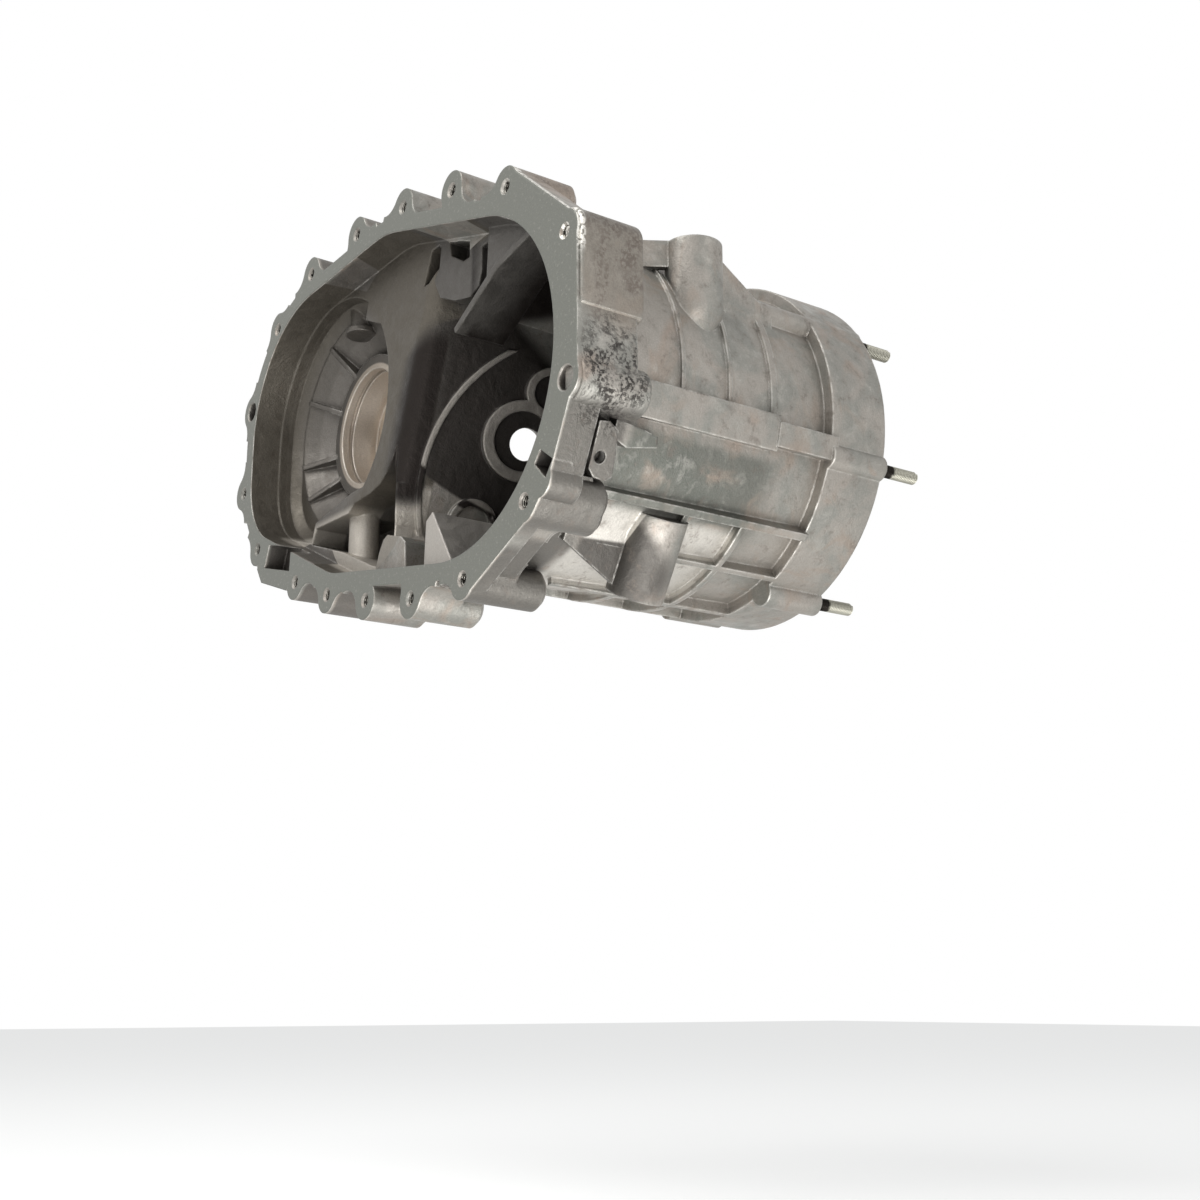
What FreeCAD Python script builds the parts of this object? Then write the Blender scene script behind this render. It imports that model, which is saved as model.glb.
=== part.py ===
import FreeCAD, Part
import math
import os

# Transfer case half: one die casting with a deep chamber for the main shaft and a shallow one for the
# front output shaft, open at the joint face, with screwed-in studs round the far end.
# Millimetres. The origin is the main shaft's axis on the joint face: +X to the right as seen from the
# open side, +Y from the joint face into the body, +Z up. Angles are degrees from +X towards +Z.

Vec = FreeCAD.Vector

# Main chamber and drum, which narrow towards the far end
bodyLength = 232.0
chamberRadius = 97.5
chamberTaper = 4.0
mainWall = 6.0
drumTaper = 5.0
drumRadius = 106.0
endWall = 16.0
endRingStart = 190.0

# Slanted and leaning left wall of the main chamber: where it meets the web, and its two angles
chamberRounds = [(-50.0, 64.0, 50.0, 50.0, 42.0), (-66.0, -38.0, 50.0, 36.0, 80.0)]
slantFoot = (-92.0, 17.0)
slantAngle = 17.0
slantLean = 20.0
slantWall = 8.0
slantGap = 4.0
webRound = 12.0
webRoundSpan = (-22.0, 116.5)

# Rear opening
tailBore = 40.0
tailSeatRadius = 50.0
tailSeatDepth = 4.0

# Front output shaft
outputX = -199.0
outputZ = 48.5
outputBore = 40.0
outputLip = 50.0
outputLipDepth = 48.0
outputSeatDepth = 27.0
outputSealBore = 33.0
housingLength = 48.0
grooveSetback = 5.0
grooveWidth = 3.0
grooveDepth = 2.5

# Opening of the joint face: a belt round the main circle and circles placed from the output shaft
mainOpening = 99.0
outputOpenings = [(93.0, -4.5, 90.0), (0.0, 0.0, 84.0), (-32.0, -28.5, 52.0), (69.0, -58.5, 67.0)]
bandWidth = 10.0
bandDepth = 30.0
wallThickness = 7.0
shellStep = 5.0
backLip = 8.0
overlap = 4.0
castDraft = 3.0
openingDraft = 1.8
webDepth = 20.0

# Shallow chamber: side wall, hollow fillet and sloping floor round the bearing
outputChamber = 80.0
wallDepth = 26.0
floorDepth = 35.0
floorFillet = 7.0
lipHeight = 8.0
chamberLedge = 0.4
upperWall = (49.0, 42.0)
lowerRound = (21.0, -48.5, 48.0)
outputRibAngles = [25.0, 118.0, 153.0, 191.0, 214.0]
ribThick = 3.5
ribFromWall = 2.0
feedColumn = (4.0, 30.0, 8.0)
feedFoot = (12.0, 11.0, 4.0)

# Web between the chambers and the trough below it, corners placed from the output shaft
webLobe = [(52.0, 82.0), (45.0, 54.5), (70.0, 42.5), (104.0, 42.5), (104.0, 82.0)]
troughCorners = [(-22.0, -84.5), (-17.0, -74.5), (30.0, -75.5), (39.0, -70.5), (60.0, -69.5), (73.0, -66.5),
                 (86.0, -57.5), (95.0, -44.5), (104.0, -44.5), (104.0, -130.0), (66.0, -118.5), (25.0, -100.5)]
troughDepth = 62.0
troughOutside = [(3.0, -86.5), (104.0, -98.5)]
troughOutsideRadius = 33.0
troughPlan = [(-34.0, 19.0), (99.0, 19.0), (87.0, 24.0), (34.0, 58.0), (30.0, 62.0), (-34.0, 62.0)]
troughColumn = (23.0, 26.0, 10.0)
troughColumnLength = 60.0
troughRidge = [(-60.0, -84.5), (-23.0, -84.5), (-18.0, -70.5), (35.0, -62.5), (60.0, -62.5), (60.0, -130.0),
               (-60.0, -130.0)]

# Bolt bosses: across, up and length; the first list is placed from the main shaft, the second from the
# front output shaft
mainBolts = [(-9.7, 128.1, 40.0), (49.7, 104.2, 42.0), (108.6, 53.0, 40.0), (72.5, -84.2, 44.0),
             (11.9, -112.6, 49.0), (-45.8, -111.8, 44.0)]
outputBolts = [(129.5, 94.2, 40.0), (97.35, -150.15, 40.0), (45.1, -135.9, 34.0), (-2.8, -117.5, 34.0),
               (-66.5, -80.6, 34.0), (-96.1, -32.8, 30.0), (-51.2, 76.9, 32.0), (0.0, 99.4, 34.0),
               (67.2, 101.3, 38.0)]
mainDowel = (109.9, -28.5, 44.0)
outputDowel = (-89.6, 26.9, 32.0)
bossRadius = 11.8
bossFillet = 14.0
bossFootDepth = 27.5
bossEndRound = 6.0
bossEndBevel = 3.0
landDepth = 22.0
landRound = 7.0
sideLand = (87.0, -76.0, 8.0, 10.3, 20.0)
lowerLip = (10.0, 25.0, 5.0)
blockLand = (78.0, -78.5)
blockRound = 4.0
threadBore = 3.4
threadDepth = 24.0
middleThreadDepth = 22.5
shortThreadDepth = 21.0
middleBoss = 39.0
shortBoss = 36.0
mouthDepth = 1.4
mouthSides = 12
dowelBore = 6.5
dowelDepth = 16.0
dowelMouth = 0.9

# Studs of the far end
farStuds = [(-16.2, 102.5), (34.7, 98.4), (86.0, 98.4), (137.5, 100.0), (189.0, 100.0), (240.5, 102.0),
            (292.0, 106.0)]
studRadius = 4.0
studOut = 31.0
studIn = 14.0
studRelief = 0.6
studChamfer = 0.8
studSeat = 8.0
studSeatStart = 152.0

# Lugs and plates inside the main chamber: x, z corners and depths
gutterCorners = [(-19.0, 43.6), (26.0, 67.0), (70.0, 76.0), (70.0, 80.0), (24.0, 71.0), (-20.0, 47.0)]
gutterStart = 10.0
gutterEnd = 43.0
blockCorners = [(-55.0, 118.0), (-57.0, 102.0), (-63.0, 96.0), (-55.0, 82.0), (-37.0, 73.5), (-20.0, 69.5),
                (-10.0, 73.0), (-7.0, 82.0), (-7.0, 101.0)]
blockEnd = 42.0
recessCorners = [(-45.0, 115.0), (-21.0, 106.0), (-21.0, 95.5), (-28.0, 95.5), (-43.0, 105.0)]
recessDepth = 12.0
notchCorners = [(-57.0, 118.0), (-67.0, 118.0), (-76.0, 97.0), (-70.0, 97.0), (-60.0, 106.0)]
fillerCorners = [(12.0, 101.0), (62.0, 80.0), (27.0, 70.5), (10.0, 62.0)]
fillerStart = 13.0
vLugCorners = [(-49.0, -103.0), (-47.0, -64.0), (-40.0, -60.0), (-18.0, -93.0), (-18.0, -101.0)]
vLugStart = 10.0
vLugEnd = 62.0
smallLugCorners = [(-116.0, -82.0), (-110.0, -68.0), (-105.0, -61.0), (-100.0, -59.0), (-83.0, -64.0),
                   (-78.0, -68.0), (-76.0, -94.0)]
smallLugStart = 13.0
smallLugEnd = 40.0

# Slanted wall's rings: along the wall, up the wall, outer radius, inner radius, height
slantRings = [(74.0, -8.0, 26.0, 19.0, 4.0), (89.0, 24.0, 16.0, 11.0, 4.0), (46.5, -62.5, 15.5, 11.0, 4.0)]
shiftHole = (76.6, -9.7, 10.5)
arcRib = (121.3, -44.9, 110.0, 3.5, 2.5)
arcRibSpan = (-80.0, 61.0)
arcRibEnd = 76.0

# Top boss
topBoss = (86.0, 104.0)
topBossRadius = 16.6
topBossTop = 82.5
topBossBore = 8.0
topBossBoreDepth = 24.0
topBossFoot = 40.0
topBossRoot = (24.0, 9.0)
rearGusset = [(86.0, 117.0, 82.5), (86.0, 160.0, 54.0)]
rearGussetDrop = 30.0
frontGusset = [(68.0, 50.0, 78.5), (84.0, 96.0, 84.0)]
frontGussetDrop = 16.0
gussetThick = 5.0

# Drain boss and the gussets beside it
drainMouth = (40.0, 95.0, -114.0)
drainTilt = 30.0
drainRadius = 16.8
drainBore = 9.0
drainLength = 48.0
drainBoreLength = 44.0
drainPlate = [(51.8, 39.0, -93.5), (41.8, 80.0, -110.8), (62.0, 80.0, -76.0), (62.0, 39.0, -76.0)]
drainPlateThick = 5.0

# Ribs, hoops and rails of the drum: depth or angle and width, then height over the skin
lowRibs = [(82.5, 2.6), (116.3, 2.6), (149.3, 4.9)]
lowRibSpan = (-8.0, 100.0)
lowRibHeight = 1.8
gridAngles = [-61.0, -86.0, -112.0, -138.0]
gridHoops = [105.0, 146.0]
gridRibWidth = 3.6
gridStart = 60.0
upperRail = (50.0, 150.0, -19.0, -8.0, 3.4)
upperRailEnd = (149.0, -17.5, -10.0, 2.0)
lowerRail = (40.0, -44.0, -41.5, 2.5)

# Pads on the drum beside the joint: depth and angle corners, then radius of the flat
tabPad = [(23.9, -23.0), (30.1, -22.6), (36.7, -24.3), (40.1, -32.0), (41.5, -36.5), (38.0, -38.0),
          (30.0, -37.6), (25.8, -35.6)]
tabRadius = 115.0
tabHole = (30.5, -32.2, 3.4)
tabHoleDepth = 7.0
shelfPad = [(38.0, -21.5), (55.0, -22.4), (66.0, -23.5), (67.0, -26.6), (48.0, -28.5), (38.0, -26.5)]
shelfRadius = 110.0
lugPad = [(25.0, -38.2), (32.0, -38.2), (35.8, -41.4), (27.6, -42.6)]
lugRadius = 113.0

# Pockets cast into the joint face and the block under the left one
pryBlock = [(-63.0, -78.5), (-65.0, -95.5), (-57.0, -106.5), (-16.0, -120.5), (-1.0, -108.5)]
pryPocket = [(-47.0, -82.1), (-11.3, -91.1), (-12.6, -107.9), (-53.4, -96.9)]
pryDepth = 14.0
pryBlockDepth = 26.5
sidePocket = [(87.5, -60.2), (99.0, -68.5), (92.5, -77.0), (82.0, -66.8)]
sidePocketDepth = 12.0

reach = 400.0


def placed(items):
    """Places given from the output shaft, as places in the part."""
    return [(outputX + item[0], outputZ + item[1]) + tuple(item[2:]) for item in items]


openingCircles = [(0.0, 0.0, mainOpening)] + placed(outputOpenings)
boltPlaces = mainBolts + placed(outputBolts)
dowelPlaces = [mainDowel] + placed([outputDowel])


def rod(x, z, radius, start, end):
    """Round bar along the shaft direction."""
    return Part.makeCylinder(radius, end - start, Vec(x, start, z), Vec(0, 1, 0))


def cone(x, z, radiusStart, radiusEnd, start, end):
    return Part.makeCone(radiusStart, radiusEnd, end - start, Vec(x, start, z), Vec(0, 1, 0))


def roundBody(place, start, grow):
    """Round or tapered body at a place: centre, both radii and where it ends."""
    x, z, first, last, end = place
    if first == last:
        return rod(x, z, first + grow, start, end + grow)
    return cone(x, z, first + grow, last + grow, start, end + grow)


def beltWire(circles, depth, grow=0.0):
    """Closed outline that a belt makes round the circles, which run clockwise as seen from the front."""
    order = list(reversed(circles))
    count = len(order)
    leaves = []
    arrives = [None] * count
    for index in range(count):
        ax, az, ar = order[index]
        bx, bz, br = order[(index + 1) % count]
        ar += grow
        br += grow
        dx = bx - ax
        dz = bz - az
        span = math.hypot(dx, dz)
        ux = dx / span
        uz = dz / span
        along = (ar - br) / span
        across = math.sqrt(1.0 - along * along)
        nx = ux * along - uz * across
        nz = uz * along + ux * across
        leaves.append((ax + ar * nx, az + ar * nz))
        arrives[(index + 1) % count] = (bx + br * nx, bz + br * nz)
    edges = []
    for index in range(count):
        cx, cz, radius = order[index]
        radius += grow
        start = arrives[index]
        end = leaves[index]
        a0 = math.atan2(start[1] - cz, start[0] - cx)
        a1 = math.atan2(end[1] - cz, end[0] - cx)
        while a1 > a0:
            a1 -= 2 * math.pi
        mid = (a0 + a1) / 2
        middle = (cx + radius * math.cos(mid), cz + radius * math.sin(mid))
        points = [Vec(p[0], depth, p[1]) for p in (start, middle, end)]
        edges.append(Part.Arc(*points).toShape())
        after = arrives[(index + 1) % count]
        edges.append(Part.LineSegment(Vec(end[0], depth, end[1]), Vec(after[0], depth, after[1])).toShape())
    return Part.Wire(edges)


def beltBody(circles, start, end, growStart=0.0, growEnd=0.0):
    """Solid between two belts, which gives the casting's draft."""
    return Part.makeLoft([beltWire(circles, start, growStart), beltWire(circles, end, growEnd)], True, True)


def prism(points, start, end):
    """Straight-sided solid along the shaft direction from x, z corners."""
    corners = [Vec(x, start, z) for x, z in points]
    return Part.Face(Part.makePolygon(corners + corners[:1])).extrude(Vec(0, end - start, 0))


def plan(points, low, high):
    """Straight-sided solid along the height from x, y corners."""
    corners = [Vec(x, y, low) for x, y in points]
    return Part.Face(Part.makePolygon(corners + corners[:1])).extrude(Vec(0, 0, high - low))


def beltPair(a, b, radius, start, end):
    """Slot-shaped bar between two places."""
    dx = b[0] - a[0]
    dz = b[1] - a[1]
    span = math.hypot(dx, dz)
    along = Vec(dx / span, 0, dz / span) * radius
    across = Vec(-along.z, 0, along.x)
    first = Vec(a[0], start, a[1])
    second = Vec(b[0], start, b[1])
    edges = [
        Part.LineSegment(first + across, second + across).toShape(),
        Part.Arc(second + across, second + along, second - across).toShape(),
        Part.LineSegment(second - across, first - across).toShape(),
        Part.Arc(first - across, first - along, first + across).toShape(),
    ]
    return Part.Face(Part.Wire(edges)).extrude(Vec(0, end - start, 0))


def mouth(x, z, radius, depth):
    """Countersink at the joint face, as a many-sided frustum."""
    rings = []
    for place, size in ((-depth, radius + 2 * depth), (depth, radius)):
        turns = [2 * math.pi * index / mouthSides for index in range(mouthSides)]
        corners = [Vec(x + size * math.cos(turn), place, z + size * math.sin(turn)) for turn in turns]
        rings.append(Part.makePolygon(corners + corners[:1]))
    return Part.makeLoft(rings, True, True)


def radial(angle):
    """Direction away from the main axis at an angle."""
    turn = math.radians(angle)
    return Vec(math.cos(turn), 0, math.sin(turn))


def sector(inner, outer, start, end, angleLow, angleHigh):
    """Part of a ring about the main axis, from one angle to another."""
    ring = rod(0, 0, outer, start, end).cut(rod(0, 0, inner, start, end))
    steps = max(2, int(math.ceil((angleHigh - angleLow) / 60.0)) + 1)
    fan = [(0.0, 0.0)]
    for step in range(steps):
        corner = radial(angleLow + (angleHigh - angleLow) * step / (steps - 1)) * (3 * outer)
        fan.append((corner.x, corner.z))
    return ring.common(prism(fan, start, end))


def pad(corners, outer):
    """Flat-topped pad on the drum from depth and angle corners."""
    angles = [angle for depth, angle in corners]
    middle = (min(angles) + max(angles)) / 2
    out = radial(middle)
    side = radial(middle + 90)
    low = chamberRadius + 2
    points = []
    for depth, angle in corners:
        points.append(out * low + side * (outer * math.tan(math.radians(angle - middle))) + Vec(0, depth, 0))
    return Part.Face(Part.makePolygon(points + points[:1])).extrude(out * (outer - low))


def skinRadius(depth):
    """Radius of the drum's skin at a depth."""
    return chamberRadius + mainWall - drumTaper * depth / endRingStart


def slantNormal():
    """Direction out of the slanted wall into the main chamber."""
    flat = math.cos(math.radians(slantAngle))
    lean = math.radians(slantLean)
    return Vec(flat * math.cos(lean), -math.sin(math.radians(slantAngle)), -flat * math.sin(lean))


def slantPlace(along, up):
    """Place on the slanted wall: deeper along it, and up it."""
    normal = slantNormal()
    flat = Vec(math.sin(math.radians(slantAngle)), math.cos(math.radians(slantAngle)), 0)
    flat = (flat - normal * flat.dot(normal)).normalize()
    rise = normal.cross(flat)
    if rise.z < 0:
        rise = rise * -1
    return Vec(slantFoot[0], webDepth, slantFoot[1]) + flat * along + rise * up


def behindSlant(shift):
    """Everything behind the slanted wall and left of the tail bore's clearance."""
    normal = slantNormal()
    body = Part.makeCylinder(reach, reach, slantPlace(0, 0) - normal * shift, normal * -1)
    limit = -(tailSeatRadius + slantGap + shift)
    return body.common(Part.makeBox(2 * reach, 3 * reach, 3 * reach, Vec(limit - 2 * reach, -reach, -1.5 * reach)))


def makeDrum():
    """Outside of the main chamber, with its left side slanted behind the joint."""
    drum = cone(0, 0, skinRadius(0), skinRadius(endRingStart + 1), 0, endRingStart + 1)
    ring = rod(0, 0, drumRadius, endRingStart, bodyLength)
    drum = drum.fuse(ring)
    behind = behindSlant(slantWall)
    start = bandDepth * 2
    room = Part.makeBox(3 * reach, bodyLength - endWall - start, 3 * reach, Vec(-1.5 * reach, start, -1.5 * reach))
    return drum.cut(behind.common(room))


def makeOutputShell():
    """Outside of the shallow chamber: rim, tapered shell and bearing housing."""
    rim = beltBody(openingCircles, 0, bandDepth, bandWidth, bandWidth - castDraft)
    round_ = (outputX, outputZ, outputChamber + wallThickness)
    shell = beltBody([round_, openingCircles[3], openingCircles[4]], bandDepth - overlap,
                     floorDepth + wallThickness + shellStep, wallThickness - castDraft, wallThickness - 3 * castDraft)
    floorInner = outputLipDepth + lipHeight
    back = cone(outputX, outputZ, outputChamber + wallThickness, outputLip + backLip, floorDepth + shellStep,
                floorInner + wallThickness + overlap)
    housing = rod(outputX, outputZ, outputLip, outputLipDepth, outputLipDepth + housingLength)
    first, second = placed(troughOutside)
    trough = beltPair(first, second, troughOutsideRadius, bandDepth - overlap, troughDepth + wallThickness)
    shoulders = [roundBody(place, bandDepth - overlap, wallThickness) for place in chamberRounds]
    return rim.fuse([shell, back, housing, trough] + shoulders)


def bossProfile(x, z, towards):
    """Boss outline with a hollow fillet on each side, at its place on the rim."""
    dx = x - towards[0]
    dz = z - towards[1]
    span = math.hypot(dx, dz)
    base = span - (towards[2] + bandWidth)
    out = Vec(dx / span, 0, dz / span)
    side = Vec(out.z, 0, -out.x)
    foot = Vec(towards[0], 0, towards[1]) + out * (towards[2] + bandWidth)
    span = bossRadius + bossFillet
    spread = math.sqrt(span * span - (bossFillet - base) ** 2)
    centre = foot + out * base

    def place(s, t):
        return foot + side * s + out * t

    def middle(hollow, touch):
        return hollow + ((touch - hollow) - out * bossFillet).normalize() * bossFillet

    right = place(spread, bossFillet)
    left = place(-spread, bossFillet)
    touchRight = right + (centre - right) * (bossFillet / span)
    touchLeft = left + (centre - left) * (bossFillet / span)
    deep = 1 - bandWidth
    edges = [
        Part.LineSegment(place(-spread, deep), place(-spread, 0)).toShape(),
        Part.Arc(place(-spread, 0), middle(left, touchLeft), touchLeft).toShape(),
        Part.Arc(touchLeft, centre + out * bossRadius, touchRight).toShape(),
        Part.Arc(touchRight, middle(right, touchRight), place(spread, 0)).toShape(),
        Part.LineSegment(place(spread, 0), place(spread, deep)).toShape(),
        Part.LineSegment(place(spread, deep), place(-spread, deep)).toShape(),
    ]
    return Part.Face(Part.Wire(edges))


def nearestCircle(x, z):
    """Circle of the opening whose edge lies nearest to a bolt."""
    return min(openingCircles, key=lambda c: abs(math.hypot(x - c[0], z - c[1]) - c[2]))


def makeBossFeet():
    """Filleted feet that tie each boss to the rim."""
    feet = []
    for x, z, length in boltPlaces + dowelPlaces:
        face = bossProfile(x, z, nearestCircle(x, z))
        depth = sideLand[4] if (x, z) == mainDowel[:2] else bossFootDepth
        feet.append(face.extrude(Vec(0, depth, 0)))
    return feet


def makeBosses():
    """Bolt and dowel bosses; the right dowel's boss has a rounded end."""
    bosses = []
    for x, z, length in boltPlaces + dowelPlaces[1:]:
        bosses.append(rod(x, z, bossRadius, 0, length - bossEndBevel))
        bosses.append(cone(x, z, bossRadius, bossRadius - bossEndBevel, length - bossEndBevel, length))
    x, z, length = mainDowel
    boss = rod(x, z, bossRadius, 0, length)
    ends = [edge for edge in boss.Edges if edge.BoundBox.YMin > length - 1]
    bosses.append(boss.makeFillet(bossEndRound, ends))
    return bosses


def makeLands():
    """Flat lands of the joint face between neighbouring bosses on the right and below."""
    first = beltPair(mainBolts[1], mainBolts[2], bossRadius - 1, 0, landDepth)
    ends = [edge for edge in first.Edges if edge.BoundBox.YMin > landDepth - 1]
    first = first.makeFillet(landRound, ends)
    depth = mainBolts[3][2]
    block = beltPair(mainBolts[3], blockLand, bossRadius, 0, depth)
    block = block.makeChamfer(blockRound, [edge for edge in block.Edges if edge.BoundBox.YMin > depth - 1])
    return [
        first,
        beltPair(mainBolts[2], mainDowel, bossRadius - 1, 0, mainBolts[2][2] - 2),
        beltPair(mainDowel, sideLand, sideLand[2], 0, sideLand[4]),
        rod(sideLand[0], sideLand[1], sideLand[3], 0, sideLand[4]),
        beltPair(mainBolts[3], mainBolts[4], bossRadius - 1, 0, lowerLip[0]),
        beltPair(mainBolts[3], mainBolts[4], lowerLip[2], 0, lowerLip[1]),
        block,
    ]


def makePads():
    """Tab, shelf and lug on the drum beside the joint."""
    return [pad(tabPad, tabRadius), pad(shelfPad, shelfRadius), pad(lugPad, lugRadius)]


def makeChambers():
    """Everything that is hollow inside: both chambers and the bearing bores."""
    opening = beltBody(openingCircles, -1, webDepth, 0.1, -openingDraft)
    main = cone(0, 0, chamberRadius, chamberRadius - chamberTaper, -1, bodyLength - endWall)
    for place in chamberRounds:
        main = main.fuse(roundBody(place, webDepth - 1, 0))
    main = main.cut(behindSlant(0))
    tail = rod(0, 0, tailBore, bodyLength - 2 * endWall, bodyLength + 1)
    seat = rod(0, 0, tailSeatRadius, bodyLength - tailSeatDepth, bodyLength + 1)
    return [opening, main, tail, seat]


def makeShallowChamber():
    """Shallow chamber with its hollow fillet, sloping floor and bearing seat."""
    left = openingCircles[3]
    around = [(outputX, outputZ, openingCircles[2][2]), left, placed([lowerRound])[0]]
    inset = openingDraft + chamberLedge
    wall = beltBody(around, webDepth - 1, wallDepth, -inset, -inset - chamberLedge)
    inset += chamberLedge
    fillet = beltBody(around, wallDepth - 0.5, wallDepth + floorFillet / 2, -inset, -inset - chamberLedge)
    inset += chamberLedge
    curve = beltBody(around, wallDepth + floorFillet / 2 - 0.5, floorDepth, -inset, -floorFillet - 2)
    sides = rod(outputX, outputZ, outputChamber, -1, floorDepth + 1)
    sides = sides.fuse(plan([(outputX - reach, 0), (outputX, 0), (outputX, floorDepth + 1),
                             (outputX - reach, floorDepth + 1)], -reach, reach))
    sides = sides.fuse(plan([(outputX - 1, 0), (outputX + upperWall[0], 0), (outputX + upperWall[0], floorDepth + 1),
                             (outputX - 1, floorDepth + 1)], outputZ + upperWall[1], reach))
    hollow = wall.fuse([fillet, curve]).common(sides)
    hollow = hollow.cut(prism([(outputX + a, outputZ + b) for a, b in webLobe], 0, floorDepth + 1))
    ridge = [(outputX + a, outputZ + b) for a, b in troughRidge]
    hollow = hollow.cut(prism(ridge, 0, floorDepth + 1))
    floorInner = outputLipDepth + lipHeight
    bowl = cone(outputX, outputZ, outputChamber - floorFillet + 2, outputLip + 1, floorDepth - 1, floorInner)
    bowl = bowl.cut(rod(outputX, outputZ, outputLip, outputLipDepth, floorInner + 1))
    seat = rod(outputX, outputZ, outputBore, outputLipDepth - 1, outputLipDepth + outputSeatDepth)
    seal = rod(outputX, outputZ, outputSealBore, outputLipDepth, outputLipDepth + housingLength + 1)
    start = outputLipDepth + grooveSetback
    groove = rod(outputX, outputZ, outputBore + grooveDepth, start, start + grooveWidth)
    return [hollow, bowl, seat, seal, groove]


def makeTrough():
    """Oil trough under the web, deeper to the left."""
    corners = [(outputX + a, outputZ + b) for a, b in troughCorners]
    body = prism(corners, webDepth - 1, troughDepth)
    return body.common(plan([(outputX + a, y) for a, y in troughPlan], -reach, reach))


def makeWebRound():
    """What is cut away where the web turns into the slanted wall."""
    normal = slantNormal()
    front = Vec(0, -1, 0)
    corner = slantPlace(0, 0)
    edge = normal.cross(front).normalize()
    centre = corner - (normal + front) * (webRound / (1 + normal.dot(front)))
    onFront = centre + front * webRound
    onSlant = centre + normal * webRound
    corners = [centre, onFront, onFront + front, corner + normal + front, onSlant + normal, onSlant]
    shift = edge * -reach
    wedge = Part.Face(Part.makePolygon([p + shift for p in corners + corners[:1]])).extrude(edge * (2 * reach))
    bar = Part.makeCylinder(webRound, 2 * reach, centre + shift, edge)
    low, high = webRoundSpan
    return wedge.cut(bar).common(Part.makeBox(2 * reach, reach, high - low, Vec(-reach, 0, low)))


def makeOutputRibs():
    """Radial ribs from the bearing housing to the wall of the shallow chamber, and the oil feed column."""
    ribs = []
    for angle in outputRibAngles:
        out = radial(angle)
        inner = outputLip - 4
        outer = outputChamber - floorFillet
        low = Vec(outputX, outputLipDepth + 1, outputZ) + out * inner
        high = Vec(outputX, floorDepth - ribFromWall, outputZ) + out * outer
        back = outputLipDepth + lipHeight + 2
        face = Part.makePolygon([low, high, Vec(high.x, back, high.z), Vec(low.x, back, low.z), low])
        side = Vec(-out.z, 0, out.x) * ribThick
        rib = Part.Face(face).extrude(side)
        rib.translate(side * -0.5)
        ribs.append(rib)
    x, y, radius = feedColumn
    top = outputOpenings[1][2]
    low, footRadius, footHeight = feedFoot
    base = Vec(outputX + x, y + radius, outputZ + outputLip + low)
    ribs.append(Part.makeCylinder(radius, top - outputLip, base))
    ribs.append(Part.makeCylinder(footRadius, footHeight, base))
    x, y, radius = troughColumn
    ribs.append(Part.makeCylinder(radius, troughColumnLength, Vec(outputX + x, y + radius, outputZ + troughCorners[9][1])))
    return ribs


def makeInside():
    """Oil gutter, catch block, lugs and ring bosses on the inner walls."""
    parts = [prism(gutterCorners, gutterStart, gutterEnd), prism(blockCorners, webDepth, blockEnd),
             prism(fillerCorners, fillerStart, gutterEnd), prism(vLugCorners, vLugStart, vLugEnd),
             prism(smallLugCorners, smallLugStart, smallLugEnd)]
    normal = slantNormal()
    for along, up, radius, inner, height in slantRings:
        base = slantPlace(along, up) - normal * slantWall
        parts.append(Part.makeCylinder(radius, height + slantWall, base, normal))
    along, up, radius, width, height = arcRib
    base = slantPlace(along, up) - normal * 2
    arc = Part.makeCylinder(radius + width / 2, height + 2, base, normal)
    arc = arc.cut(Part.makeCylinder(radius - width / 2, height + 2, base, normal))
    low, high = arcRibSpan
    arc = arc.common(Part.makeBox(2 * reach, 2 * reach, high - low, Vec(-reach, -reach, low)))
    parts.append(arc.common(Part.makeBox(2 * reach, arcRibEnd, 2 * reach, Vec(-reach, 0, -reach))))
    return parts


def makeWallHoles():
    """Hollows of the ring bosses, the hole of the middle one, and the pockets of the catch block."""
    normal = slantNormal()
    cuts = []
    for along, up, radius, inner, height in slantRings:
        cuts.append(Part.makeCylinder(inner, height + 1, slantPlace(along, up), normal))
    along, up, radius = shiftHole
    cuts.append(Part.makeCylinder(radius, 60, slantPlace(along, up) - normal * 30, normal))
    cuts.append(prism(recessCorners, webDepth - 1, webDepth + recessDepth))
    cuts.append(prism(notchCorners, webDepth - 1, webDepth + recessDepth + 4))
    return cuts


def studPlaces():
    """Places of the studs, from their angle and distance from the main axis."""
    turned = [radial(angle) * distance for angle, distance in farStuds]
    return [(place.x, place.z) for place in turned]


def makeLowRibs():
    """Low hoops round the upper side of the drum."""
    return [sector(skinRadius(place) - 2, skinRadius(place) + lowRibHeight, place - width / 2, place + width / 2,
                   *lowRibSpan) for place, width in lowRibs]


def makeRails():
    """Long rails beside the flat panel."""
    start, end, low, high, height = upperRail
    rails = [sector(chamberRadius + 1, chamberRadius + mainWall + height, start, end, low, high)]
    start, low, high, height = upperRailEnd
    rails.append(sector(chamberRadius, drumRadius + height, start, endRingStart + 4, low, high))
    start, low, high, height = lowerRail
    rails.append(sector(chamberRadius, drumRadius + height, start, endRingStart + 1, low, high))
    return rails


def makeGrid():
    """Lengthwise ribs and hoops below the lower rail."""
    half = gridRibWidth / 2
    turn = math.degrees(half / drumRadius)
    ribs = [sector(chamberRadius - 1, drumRadius, gridStart, endRingStart + 1, angle - turn, angle + turn)
            for angle in gridAngles]
    hoops = [sector(chamberRadius - 1, drumRadius, place - half, place + half, -170, -42) for place in gridHoops]
    return ribs + hoops


def makeStudSeats():
    """Ridges that carry the studs; one of them runs further along the drum."""
    places = studPlaces()
    seats = [rod(x, z, studSeat, endRingStart, bodyLength) for x, z in places]
    return seats + [rod(places[1][0], places[1][1], studSeat, studSeatStart, endRingStart + 1)]


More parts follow.
